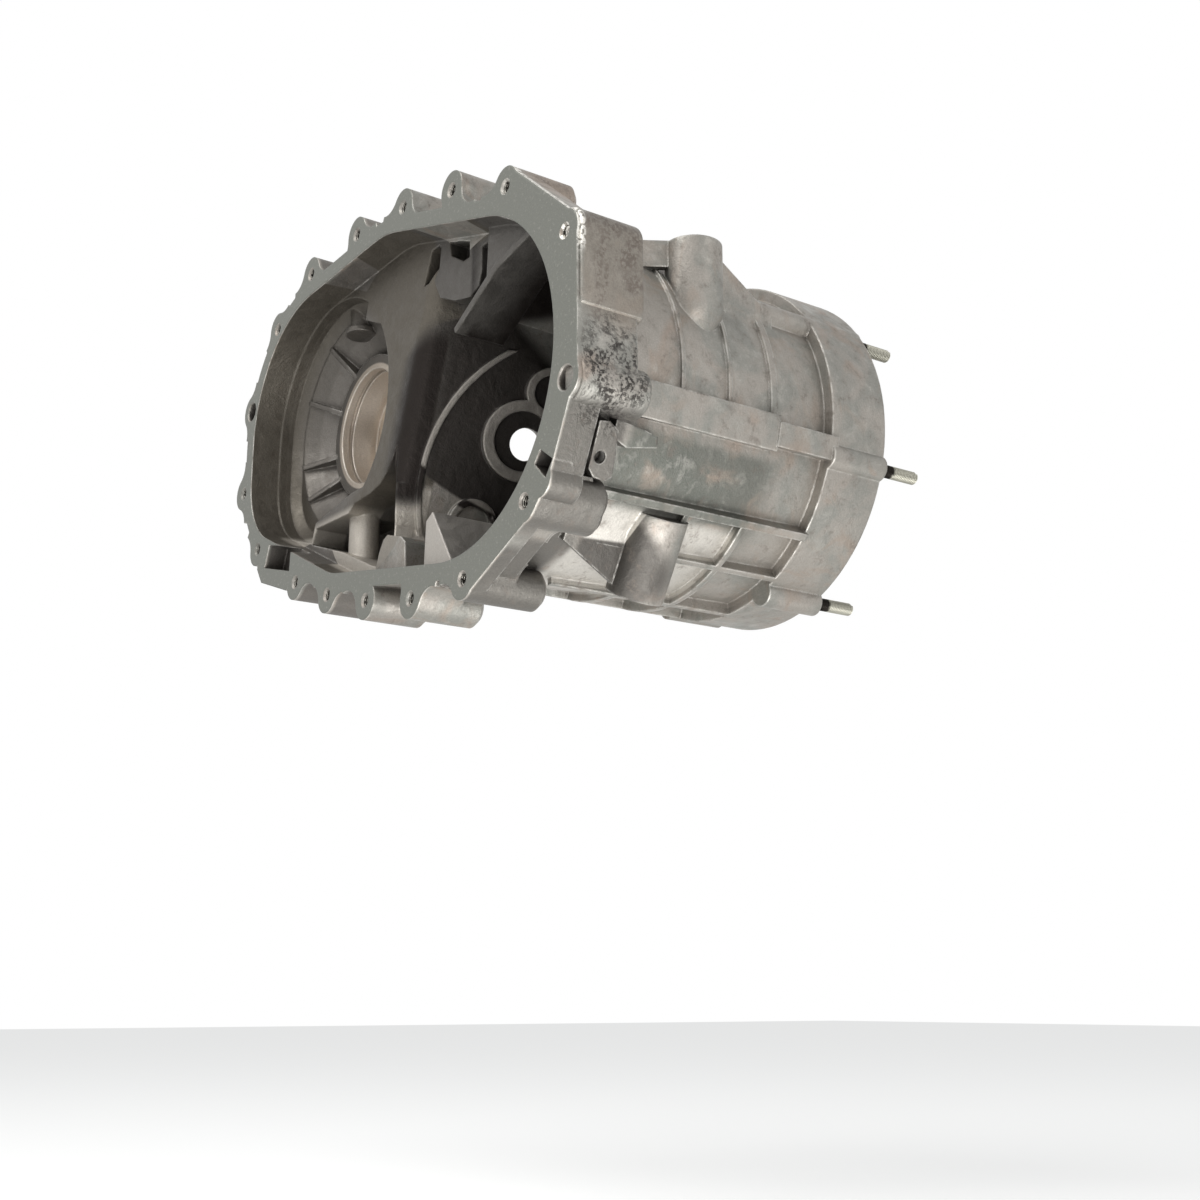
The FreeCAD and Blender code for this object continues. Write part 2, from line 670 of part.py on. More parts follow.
def gusset(first, second, drop):
    """Upright plate between two top corners, reaching down by the drop."""
    first = Vec(*first)
    second = Vec(*second)
    down = Vec(0, 0, -drop)
    side = Vec(second.y - first.y, first.x - second.x, 0).normalize() * gussetThick
    plate = Part.Face(Part.makePolygon([first, second, second + down, first + down, first])).extrude(side)
    plate.translate(side * -0.5)
    return plate


def makeTopBoss():
    """Upright boss on the drum's shoulder, with the gussets before and behind it."""
    x, y = topBoss
    boss = Part.makeCylinder(topBossRadius, topBossTop - topBossFoot, Vec(x, y, topBossFoot))
    low, radius = topBossRoot
    root = Part.makeCone(radius, topBossRadius, topBossFoot - low, Vec(x, y, low))
    return [boss, root, gusset(*rearGusset, rearGussetDrop), gusset(*frontGusset, frontGussetDrop)]


def drainAxis():
    """Direction from the drain's mouth into the casting."""
    turn = math.radians(drainTilt)
    return Vec(math.sin(turn), 0, math.cos(turn))


def makeDrainBoss():
    """Slanted boss under the drum, with a stiffening plate to the joint."""
    boss = Part.makeCylinder(drainRadius, drainLength, Vec(*drainMouth), drainAxis())
    corners = [Vec(*corner) for corner in drainPlate]
    axis = drainAxis()
    side = Vec(axis.z, 0, -axis.x)
    level = side.dot(Vec(*drainMouth))
    corners = [corner + side * (level - side.dot(corner)) for corner in corners]
    plate = Part.Face(Part.makePolygon(corners + corners[:1])).extrude(side * -drainPlateThick)
    return [boss, plate]


def makePryBlock():
    return prism(placed(pryBlock), 0, pryBlockDepth)


def makeHoles():
    """Threaded and plain holes of the joint face, bosses and far end."""
    cuts = []
    for x, z, length in boltPlaces:
        depth = threadDepth if length > middleBoss else middleThreadDepth if length > shortBoss else shortThreadDepth
        cuts.append(rod(x, z, threadBore, -1, depth).fuse(mouth(x, z, threadBore, mouthDepth)))
    for x, z, length in dowelPlaces:
        cuts.append(rod(x, z, dowelBore, -1, dowelDepth).fuse(mouth(x, z, dowelBore, dowelMouth)))
    x, y = topBoss
    cuts.append(Part.makeCylinder(topBossBore, topBossBoreDepth + 1, Vec(x, y, topBossTop - topBossBoreDepth)))
    cuts.append(Part.makeCylinder(drainBore, drainBoreLength + 1, Vec(*drainMouth) - drainAxis(), drainAxis()))
    for x, z in studPlaces():
        cuts.append(rod(x, z, threadBore, bodyLength - studIn, bodyLength + 1))
    cuts.append(prism(placed(pryPocket), -1, pryDepth))
    cuts.append(prism(sidePocket, -1, sidePocketDepth))
    depth, angle, radius = tabHole
    out = radial(angle)
    cuts.append(Part.makeCylinder(radius, tabHoleDepth + 2, out * (tabRadius - tabHoleDepth) + Vec(0, depth, 0), out))
    return cuts


def makeCasting():
    """The whole casting: outside first, then hollows, then what stands inside, then holes."""
    solid = makeDrum().fuse(makeOutputShell())
    solid = solid.fuse(makeBossFeet())
    solid = solid.fuse(makeBosses())
    solid = solid.fuse([makePryBlock()] + makeDrainBoss())
    for land in makeLands():
        solid = solid.fuse(land)
    for group in (makePads(), makeLowRibs(), makeRails(), makeGrid(), makeStudSeats(), makeTopBoss()):
        solid = solid.fuse(group)
    solid = solid.cut(makeChambers())
    solid = solid.cut(makeShallowChamber())
    solid = solid.cut([makeTrough(), makeWebRound()])
    solid = solid.fuse(makeOutputRibs() + makeInside())
    solid = solid.cut(makeWallHoles())
    return solid.cut(makeHoles())


def makeStuds():
    studs = []
    for x, z in studPlaces():
        tapEnd = rod(x, z, threadBore, bodyLength - studIn, bodyLength + studRelief + studChamfer)
        nutEnd = rod(x, z, studRadius, bodyLength + studRelief, bodyLength + studOut)
        tip = [edge for edge in nutEnd.Edges if edge.CenterOfMass.y > bodyLength + studOut - 0.01]
        studs.append(nutEnd.makeChamfer(studChamfer, tip).fuse(tapEnd))
    return Part.makeCompound(studs)


def export(shape, name):
    shape.exportStep("parts/" + name + ".step")
    box = shape.BoundBox
    print(name, shape.isValid(), len(shape.Solids), len(shape.Faces), round(shape.Volume / 1000), "cm3",
          [round(v, 1) for v in (box.XMin, box.YMin, box.ZMin, box.XMax, box.YMax, box.ZMax)])


os.makedirs("parts", exist_ok=True)
export(makeCasting(), "case_half")
export(makeStuds(), "far_end_studs")
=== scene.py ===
import bmesh
import bpy
import math
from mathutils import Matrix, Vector


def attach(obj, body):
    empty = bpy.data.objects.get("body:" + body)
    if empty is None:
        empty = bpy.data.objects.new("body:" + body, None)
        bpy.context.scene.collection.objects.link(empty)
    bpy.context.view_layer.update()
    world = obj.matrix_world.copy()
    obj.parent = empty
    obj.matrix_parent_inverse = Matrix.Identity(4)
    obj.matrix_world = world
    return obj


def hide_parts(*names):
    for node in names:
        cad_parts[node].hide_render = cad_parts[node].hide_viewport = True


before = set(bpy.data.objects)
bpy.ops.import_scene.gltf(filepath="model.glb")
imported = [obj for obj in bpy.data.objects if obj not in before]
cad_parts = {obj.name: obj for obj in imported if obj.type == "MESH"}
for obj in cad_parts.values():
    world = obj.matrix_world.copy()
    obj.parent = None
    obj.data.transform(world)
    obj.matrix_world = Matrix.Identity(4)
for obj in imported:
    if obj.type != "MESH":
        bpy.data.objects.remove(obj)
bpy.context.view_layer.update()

# Transfer case half: the looks of the casting, its threads and its studs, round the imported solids.

camera = {"place": (0.7348, -0.42576, -0.33272), "azimuth": 54.4, "elevation": -14.0, "lens": 48.0}
light = {"worldStrength": 0.42, "backdrop": 1.0, "floorHeight": -0.45, "floorGlow": 0.5,
         "key": ((0.1, -0.9, 1.1), 1.0, 13.0), "side": ((1.5, 0.6, 0.5), 0.8, 2.0),
         "bounce": ((0.15, 0.0, -0.44), 0.7, 7.0),  # place and size in m, power in W
         "aim": (-0.05, 0.1, 0.0), "floorHalf": 6.0,  # m
         "sky": "#eceef0", "white": "#ffffff", "floorPaint": "#e6e6e4"}


def linear(hexColour):  # linear colour from an sRGB hex string
    values = [int(hexColour[i:i + 2], 16) / 255 for i in (1, 3, 5)]
    return tuple(v / 12.92 if v <= 0.04045 else ((v + 0.055) / 1.055) ** 2.4 for v in values) + (1.0,)


def addNode(tree, kind, settings=None, **links):  # a node with its settings, input values and links
    node = tree.nodes.new(kind)
    for name, value in (settings or {}).items():
        setattr(node, name, value)
    for name, value in links.items():
        socket = node.inputs[int(name[1:])] if name[1:].isdigit() else node.inputs[name.replace("_", " ")]
        if isinstance(value, bpy.types.Node):
            value = value.outputs[0]
        if isinstance(value, bpy.types.NodeSocket):
            tree.links.new(value, socket)
        else:
            socket.default_value = value
    return node


def newMaterial(name):
    material = bpy.data.materials.new(name)
    material.use_nodes = True
    material.node_tree.nodes.clear()
    return material, material.node_tree


def zone(tree, *limits):  # 1 where every value lies past its low limit towards its high one, soft between them
    mask = None
    for value, low, high in limits:
        part = addNode(tree, "ShaderNodeMapRange", {"interpolation_type": "SMOOTHSTEP"},
                       Value=value, From_Min=low, From_Max=high).outputs[0]
        mask = part if mask is None else addNode(tree, "ShaderNodeMath", {"operation": "MULTIPLY"}, _0=mask, _1=part)
    return mask


def distanceTo(tree, place, point, squeeze=(1.0, 1.0, 1.0)):  # from a point in mm, each axis stretched
    moved = addNode(tree, "ShaderNodeVectorMath", {"operation": "SUBTRACT"}, _0=place, _1=point)
    scaled = addNode(tree, "ShaderNodeVectorMath", {"operation": "MULTIPLY"}, _0=moved, _1=squeeze)
    return addNode(tree, "ShaderNodeVectorMath", {"operation": "LENGTH"}, _0=scaled).outputs["Value"]


def millimetres(tree):  # object coordinates in mm, and their three parts
    coords = addNode(tree, "ShaderNodeTexCoord").outputs["Object"]
    place = addNode(tree, "ShaderNodeVectorMath", {"operation": "SCALE"}, _0=coords, Scale=1000.0).outputs[0]
    parts = addNode(tree, "ShaderNodeSeparateXYZ", None, _0=place)
    return place, parts.outputs[0], parts.outputs[1], parts.outputs[2]


# the casting's skin, and where its zones lie
casting = {
    # painted light and shade among these colours: the chamber's dark tones and the crease colour are painted shade, the
    # bright edge colour is partly painted highlight, and the rib, trough, grid, low inside and hole colours are painted
    # light
    "skin": "#948f88", "skinCool": "#86857f", "skinWarm": "#928478", "cloud": "#a5a29b", "stain": "#6a625b",
    "panel": "#5b5d57", "machined": "#74756e", "wornAndHighlight": "#dcd9d2", "shadeAndGrime": "#2c2825", "pitted": "#3b3835",
    "shallow": "#635f5a", "shallowWall": "#5a554d", "chamberShade": "#575450", "deep": "#241f1c", "troughLit": "#aaa49b",
    "bearingSeat": "#c6bbae", "bearingLip": "#c9c3ba", "litRib": "#8f8a83", "holeHighlight": "#e6e4de",
    "leftSide": "#6b6762", "landSide": "#64615c", "sideTint": "#7b746b", "drainSkin": "#4f4c48",
    "gridLitFromBelow": "#b9b5ae", "lowInsideLit": "#a9a49d",
    "cloudSize": 34.0, "blotchSize": 9.0, "streakSize": 12.0, "speckSize": 2.2, "grainSize": 0.9,  # mm across
    "streakStretch": (1.0, 0.55, 0.35),
    "openings": [(-106, 44, 92.5), (-199, 48.5, 86.5), (-231, 20, 54.5), (-130, -10, 69.5), (0, 0, 101.5)],  # mm
    "slantNormal": (0.8986, -0.2924, -0.3271),  # out of the slanted wall
    "chamberTaper": 0.0224, "bearingPlace": (-199, 0, 48.5),  # mm
    "softEdge": 0.0018, "hollowReach": 0.014, "grainDepth": 0.00012, "pitDepth": 0.0005, "waveDepth": 0.0006,  # m
    "roughness": (0.38, 0.62), "machinedRoughness": 0.42, "metallic": 0.75,
}


def makeCastAluminium():
    # Die-cast aluminium, as cast: a dull grey skin with a fine grain, oil-brown clouds, dark pits where it corroded,
    # and bright edges, partly worn metal and partly painted highlight. The joint face is milled, so it is flatter,
    # greener and even.
    # Shade is painted into the colour inside the chambers and in the creases, and some faces are painted lighter as if
    # lit.
    material, tree = newMaterial("dieCastAluminium")
    place, x, y, z = millimetres(tree)
    normal = addNode(tree, "ShaderNodeTexCoord").outputs["Normal"]
    facing = addNode(tree, "ShaderNodeSeparateXYZ", None, _0=normal)
    flat = addNode(tree, "ShaderNodeCombineXYZ", None, X=x, Z=z)
    radius = addNode(tree, "ShaderNodeVectorMath", {"operation": "LENGTH"}, _0=flat).outputs["Value"]
    clouds = addNode(tree, "ShaderNodeTexNoise", None, Vector=place, Scale=1 / casting["cloudSize"], Detail=4.0,
                     Roughness=0.55, Distortion=0.6)
    blotches = addNode(tree, "ShaderNodeTexNoise", None, Vector=place, Scale=1 / casting["blotchSize"], Detail=5.0,
                       Roughness=0.62, Distortion=0.3)
    specks = addNode(tree, "ShaderNodeTexNoise", None, Vector=place, Scale=1 / casting["speckSize"], Detail=3.0,
                     Roughness=0.6)
    grain = addNode(tree, "ShaderNodeTexNoise", None, Vector=place, Scale=1 / casting["grainSize"], Detail=2.0,
                    Roughness=0.6)
    # drawn in the same way, the clouds sag downwards as oil would
    streakPlace = addNode(tree, "ShaderNodeVectorMath", {"operation": "MULTIPLY"}, _0=place,
                          _1=casting["streakStretch"])
    streaks = addNode(tree, "ShaderNodeTexNoise", None, Vector=streakPlace, Scale=1 / casting["streakSize"],
                      Detail=4.0, Distortion=0.8)

    # where the surface lies
    machined = zone(tree, (y, 0.5, 0.3), (facing.outputs[1], -0.7, -0.9))
    chamberWall = addNode(tree, "ShaderNodeMath", {"operation": "MULTIPLY_ADD"}, _0=y,
                          _1=casting["chamberTaper"], _2=radius)
    webSide = addNode(tree, "ShaderNodeVectorMath", {"operation": "DOT_PRODUCT"}, _0=place,
                      _1=casting["slantNormal"]).outputs["Value"]
    # painted shade: the inside of the main chamber is coloured darker than the skin
    inChamber = zone(tree, (chamberWall, 101.5, 100.0), (webSide, -100.0, -92.0), (y, 0.5, 1.5), (y, 218.5, 217.0))
    inOpening = None
    for u, v, reach in casting["openings"]:
        away = distanceTo(tree, place, (u, 0, v), (1, 0, 1))
        part = zone(tree, (away, reach + 1, reach))
        inOpening = part if inOpening is None else addNode(tree, "ShaderNodeMath", {"operation": "MAXIMUM"},
                                                           _0=inOpening, _1=part)
    inShallow = zone(tree, (inOpening.outputs[0], 0.3, 0.7), (y, 0.4, 1.0), (y, 44.0, 42.0))
    depth = zone(tree, (y, 19.0, 44.0))
    # painted light: the low faces inside the chamber are coloured lighter than the skin, standing in for the light on
    # them
    lowInsideLit = zone(tree, (z, -56.0, -60.0), (y, 66.0, 62.0), (inOpening, 0.3, 0.7), (x, -54.0, -51.0),
                     (x, -12.0, -15.0), (y, 0.5, 1.5))
    # painted shade: the slanted wall darkens from its round on, further over towards the top
    high = addNode(tree, "ShaderNodeMath", {"operation": "MAXIMUM"}, _0=addNode(
        tree, "ShaderNodeMath", {"operation": "SUBTRACT"}, _0=z, _1=55.0), _1=0.0)
    webLean = addNode(tree, "ShaderNodeMath", {"operation": "MULTIPLY_ADD"}, _0=high, _1=-0.9, _2=webSide)
    webShade = zone(tree, (webLean.outputs[0], -116.0, -98.0), (y, 15.0, 19.5), (y, 40.0, 34.0), (inOpening, 0.3, 0.7),
                   (z, -40.0, -28.0), (x, -5.0, -20.0))
    inChamber = addNode(tree, "ShaderNodeMath", {"operation": "MAXIMUM"}, _0=inChamber, _1=webShade).outputs[0]
    # painted shade: the pocket block inside takes the chamber's lighter shade in place of the deep one
    pocketBlock = zone(tree, (z, 64.0, 68.0), (x, -64.0, -60.0), (x, -16.0, -20.0), (y, 46.0, 42.0), (y, 0.5, 1.5),
                       (inOpening, 0.3, 0.7))
    # painted light: the ribs on the slanted wall keep a lighter colour than the shaded wall round them
    slantRibs = zone(tree, (webSide, -93.6, -93.0), (webSide, -87.0, -88.5), (chamberWall, 97.5, 96.0),
                     (y, 213.0, 211.0), (inChamber, 0.3, 0.7))
    # painted shade: the chamber goes near-black with depth from 19 mm on, and on the shaded slanted wall
    depthShade = addNode(tree, "ShaderNodeMath", {"operation": "MULTIPLY"}, _0=inChamber, _1=depth).outputs[0]
    depthShade = addNode(tree, "ShaderNodeMath", {"operation": "MAXIMUM"}, _0=depthShade, _1=webShade)
    fromBearing = distanceTo(tree, place, casting["bearingPlace"], (1, 0, 1))
    bearing = zone(tree, (fromBearing, 44.5, 43.0), (y, 22.0, 27.0), (y, 88.0, 84.0))
    bearingLip = zone(tree, (fromBearing, 51.5, 49.5), (y, 29.5, 28.0), (y, 24.0, 26.0))
    shallowWall = zone(tree, (fromBearing, 68.0, 84.0))
    shallowRim = addNode(tree, "ShaderNodeMath", {"operation": "MULTIPLY"}, _0=inShallow, _1=shallowWall)
    # painted light: the trough is coloured lighter than the skin, standing in for the light that reaches it
    troughLit = zone(tree, (z, -21.0, -27.0), (x, -55.0, -75.0), (y, 10.0, 16.0))
    troughIn = addNode(tree, "ShaderNodeMath", {"operation": "MULTIPLY"}, _0=inShallow, _1=troughLit)
    panelPart = zone(tree, (z, -34.0, -41.0), (z, -84.0, -74.0), (x, 40.0, 60.0), (y, 44.0, 52.0), (y, 168.0, 146.0),
                     (chamberWall, 101.5, 103.0))
    leftSide = zone(tree, (x, -80.0, -150.0), (y, 1.0, 3.0))
    nearDowel = distanceTo(tree, place, (112, 24, -22), (1 / 30, 1 / 27, 1 / 34))
    drain = zone(tree, (distanceTo(tree, place, (47, 78, -98), (1 / 27, 1 / 34, 1 / 30)), 1.1, 0.8))
    # painted light: the grid of pockets underneath is coloured lighter, as lit from below
    grid = zone(tree, (z, -72.0, -78.0), (y, 48.0, 54.0), (y, 156.0, 146.0), (chamberWall, 106.8, 105.8),
                (x, -20.0, -5.0), (chamberWall, 101.5, 103.0))
    lowBlock = zone(tree, (x, -25.0, -15.0), (x, 60.0, 52.0), (z, -84.0, -92.0), (y, 50.0, 44.0), (y, 0.5, 2.0))
    landSide = zone(tree, (x, 55.0, 78.0), (z, -34.0, -44.0), (z, -112.0, -100.0), (y, 48.0, 42.0), (y, 0.5, 2.0))
    pitZone = zone(tree, (nearDowel, 1.1, 0.6), (y, 1.5, 4.0))
    sideBlock = zone(tree, (distanceTo(tree, place, (121, 22, 34), (1 / 20, 1 / 30, 1 / 36)), 1.1, 0.7), (y, 1.5, 4.0))
    # bright flecks near the joint face round the upper bolts: partly chipped metal, partly painted highlight
    chipsAndGlints = zone(tree, (distanceTo(tree, place, (98, 0, 88)), 58.0, 48.0), (y, 5.0, 3.0),
                 (specks.outputs[0], 0.42, 0.5))
    nearBlock = distanceTo(tree, place, (70, 26, 96), (1 / 36, 1 / 26, 1 / 26))
    blockZone = zone(tree, (nearBlock, 1.15, 0.7), (y, 1.5, 4.0))
    # painted highlight: a near-white spot on the floor of the tab's hole
    tab = distanceTo(tree, place, (97.6, 30.5, -61.4), (1 / 3.6, 1 / 3.6, 1 / 3.6))
    tabHoleHighlight = zone(tree, (tab, 2.2, 1.2), (addNode(tree, "ShaderNodeVectorMath", {"operation": "LENGTH"}, _0=flat)
                    .outputs["Value"], 114.3, 113.3))

    # soft cast edges: the bevelled normal, and how far it leans from the plain one
    roundNormal = addNode(tree, "ShaderNodeBevel", {"samples": 6}, Radius=casting["softEdge"])
    plain = addNode(tree, "ShaderNodeNewGeometry").outputs["Normal"]
    lean = addNode(tree, "ShaderNodeVectorMath", {"operation": "DOT_PRODUCT"}, _0=roundNormal,
                   _1=plain).outputs["Value"]
    hollow = addNode(tree, "ShaderNodeAmbientOcclusion", {"samples": 6}, Distance=casting["hollowReach"]).outputs["AO"]
    openEdge = zone(tree, (lean, 0.985, 0.86), (hollow, 0.35, 0.75), (blotches.outputs[0], 0.35, 0.6))
    # painted shade: the colour darkens in creases, where the occlusion finds surfaces close by, less so inside the
    # openings
    crease = zone(tree, (hollow, 0.72, 0.25))

    creaseShare = addNode(tree, "ShaderNodeMapRange", None, Value=inOpening.outputs[0], To_Min=0.6, To_Max=0.2)
    creaseShade = addNode(tree, "ShaderNodeMath", {"operation": "MULTIPLY"}, _0=crease, _1=creaseShare)
    cool = zone(tree, (clouds.outputs[0], 0.42, 0.62))
    warm = zone(tree, (streaks.outputs[0], 0.5, 0.72))
    warmSoft = addNode(tree, "ShaderNodeMath", {"operation": "MULTIPLY"}, _0=warm, _1=0.62)
    pale = zone(tree, (blotches.outputs[0], 0.52, 0.72), (clouds.outputs[0], 0.3, 0.6))
    paleSoft = addNode(tree, "ShaderNodeMath", {"operation": "MULTIPLY"}, _0=pale, _1=0.5)
    stains = zone(tree, (blotches.outputs[0], 0.47, 0.33), (specks.outputs[0], 0.62, 0.4))
    stainSoft = addNode(tree, "ShaderNodeMath", {"operation": "MULTIPLY"}, _0=stains, _1=0.52)
    panelTint = addNode(tree, "ShaderNodeMath", {"operation": "MULTIPLY"}, _0=panelPart, _1=0.85)
    pitSpots = zone(tree, (specks.outputs[0], 0.56, 0.45), (blotches.outputs[0], 0.62, 0.42))
    pits = addNode(tree, "ShaderNodeMath", {"operation": "MULTIPLY"}, _0=pitZone, _1=pitSpots)
    blockSpots = addNode(tree, "ShaderNodeMath", {"operation": "MULTIPLY"}, _0=blockZone,
                         _1=zone(tree, (streaks.outputs[0], 0.52, 0.42), (specks.outputs[0], 0.62, 0.42)))
    sideSpots = addNode(tree, "ShaderNodeMath", {"operation": "MULTIPLY"}, _0=sideBlock,
                        _1=zone(tree, (streaks.outputs[0], 0.55, 0.42), (specks.outputs[0], 0.6, 0.42)))
    sideTint = addNode(tree, "ShaderNodeMath", {"operation": "MULTIPLY"}, _0=sideBlock, _1=0.75)
    blockTint = addNode(tree, "ShaderNodeMath", {"operation": "MULTIPLY"}, _0=blockZone, _1=0.7)
    blockSoft = addNode(tree, "ShaderNodeMath", {"operation": "MULTIPLY"}, _0=blockSpots, _1=0.6)
    inside = addNode(tree, "ShaderNodeMath", {"operation": "MAXIMUM"}, _0=inChamber, _1=inShallow).outputs[0]
    wearAndHighlightShare = addNode(tree, "ShaderNodeMapRange", None, Value=inside, To_Min=0.6, To_Max=0.08)
    # bright on the open edges: worn metal where handling took the skin off, and painted highlight
    edgeWearAndHighlight = addNode(tree, "ShaderNodeMath", {"operation": "MULTIPLY"}, _0=openEdge, _1=wearAndHighlightShare)
    faceFleck = addNode(tree, "ShaderNodeMath", {"operation": "MULTIPLY"}, _0=machined,
                        _1=zone(tree, (specks.outputs[0], 0.56, 0.7)))
    faceFleckSoft = addNode(tree, "ShaderNodeMath", {"operation": "MULTIPLY"}, _0=faceFleck, _1=0.35)

    colour = addNode(tree, "ShaderNodeRGB").outputs[0]
    colour.default_value = linear(casting["skin"])
    # each layer covers the ones before it where its mask is full
    layers = [("skinCool", cool), ("panel", panelTint), ("skinWarm", warmSoft), ("cloud", paleSoft),
              ("leftSide", leftSide), ("landSide", landSide), ("drainSkin", drain), ("gridLitFromBelow", grid),
              ("landSide", lowBlock), ("stain", stainSoft), ("sideTint", sideTint), ("stain", sideSpots),
              ("skinWarm", blockTint), ("stain", blockSoft), ("pitted", pits), ("shallow", inShallow),
              ("shallowWall", shallowRim), ("troughLit", troughIn), ("chamberShade", inChamber), ("deep", depthShade),
              ("chamberShade", pocketBlock), ("litRib", slantRibs), ("lowInsideLit", lowInsideLit), ("bearingSeat", bearing),
              ("bearingLip", bearingLip), ("holeHighlight", tabHoleHighlight), ("shadeAndGrime", creaseShade), ("wornAndHighlight", edgeWearAndHighlight),
              ("wornAndHighlight", chipsAndGlints), ("machined", machined), ("cloud", faceFleckSoft)]
    for name, mask in layers:
        colour = addNode(tree, "ShaderNodeMix", {"data_type": "RGBA"}, _0=mask, _6=colour,
                         _7=linear(casting[name])).outputs[2]
    shade = addNode(tree, "ShaderNodeMapRange", None, Value=grain.outputs[0], From_Min=0.3, From_Max=0.7,
                    To_Min=0.9, To_Max=1.1)
    grey = addNode(tree, "ShaderNodeVectorMath", {"operation": "SCALE"}, _0=colour, Scale=shade.outputs[0])

    smooth, rough = casting["roughness"]
    skinRoughness = addNode(tree, "ShaderNodeMapRange", None, Value=blotches.outputs[0], From_Min=0.3, From_Max=0.7,
                            To_Min=rough, To_Max=smooth)
    shiny = addNode(tree, "ShaderNodeMath", {"operation": "MAXIMUM"}, _0=machined, _1=bearing)
    roughness = addNode(tree, "ShaderNodeMix", {"data_type": "FLOAT"}, _0=shiny, _2=skinRoughness.outputs[0],
                        _3=casting["machinedRoughness"]).outputs[0]

    grainHeight = addNode(tree, "ShaderNodeMath", {"operation": "MULTIPLY"}, _0=grain.outputs[0],
                          _1=casting["grainDepth"])
    skinHeight = addNode(tree, "ShaderNodeMix", {"data_type": "FLOAT"}, _0=machined, _2=grainHeight.outputs[0], _3=0.0)
    pitHeight = addNode(tree, "ShaderNodeMath", {"operation": "MULTIPLY"}, _0=pits, _1=-casting["pitDepth"])
    waves = addNode(tree, "ShaderNodeMath", {"operation": "MULTIPLY"}, _0=blotches.outputs[0], _1=casting["waveDepth"])
    waveHeight = addNode(tree, "ShaderNodeMix", {"data_type": "FLOAT"}, _0=machined, _2=waves.outputs[0], _3=0.0)
    height = addNode(tree, "ShaderNodeMath", {"operation": "ADD"}, _0=skinHeight.outputs[0], _1=pitHeight)
    height = addNode(tree, "ShaderNodeMath", {"operation": "ADD"}, _0=height, _1=waveHeight.outputs[0])
    bump = addNode(tree, "ShaderNodeBump", None, Strength=1.0, Distance=1.0, Height=height, Normal=roundNormal)
    shader = addNode(tree, "ShaderNodeBsdfPrincipled", None, Base_Color=grey, Roughness=roughness,
                     Metallic=casting["metallic"], Normal=bump)
    addNode(tree, "ShaderNodeOutputMaterial", None, Surface=shader)
    return material


# threads and studs
boltThreads = {
    "places": [(-69.5, 142.7), (-9.7, 128.1), (49.7, 104.2), (108.6, 53.0), (72.5, -84.2), (11.9, -112.6),
               (-45.8, -111.8), (-101.65, -101.65), (-153.9, -87.4), (-201.8, -69.0), (-265.5, -32.1), (-295.1, 15.7),
               (-250.2, 125.4), (-199.0, 147.9), (-131.8, 149.8)],  # mm, x and z of the holes
    "start": 1.6, "length": 19.0, "pitch": 1.25, "middle": 3.4, "height": 0.5, "turnSteps": 18,
    "cut": "#9b9890", "shadeAndGrime": "#2c2926"}
studs = {
    "places": [(-16.2, 102.5), (34.7, 98.4), (86.0, 98.4), (137.5, 100.0), (189.0, 100.0), (240.5, 102.0),
               (292.0, 106.0)],  # degrees round the main shaft's line, and mm from it
    "start": 218.0, "end": 263.0, "coreSides": 28, "pitch": 1.25, "core": 3.4, "height": 0.55, "chamfer": 1.2,
    "zinc": "#b4b2a6", "zincRootShade": "#8b897e", "lockBand": "#2e2b28", "bandEnd": 242.5}


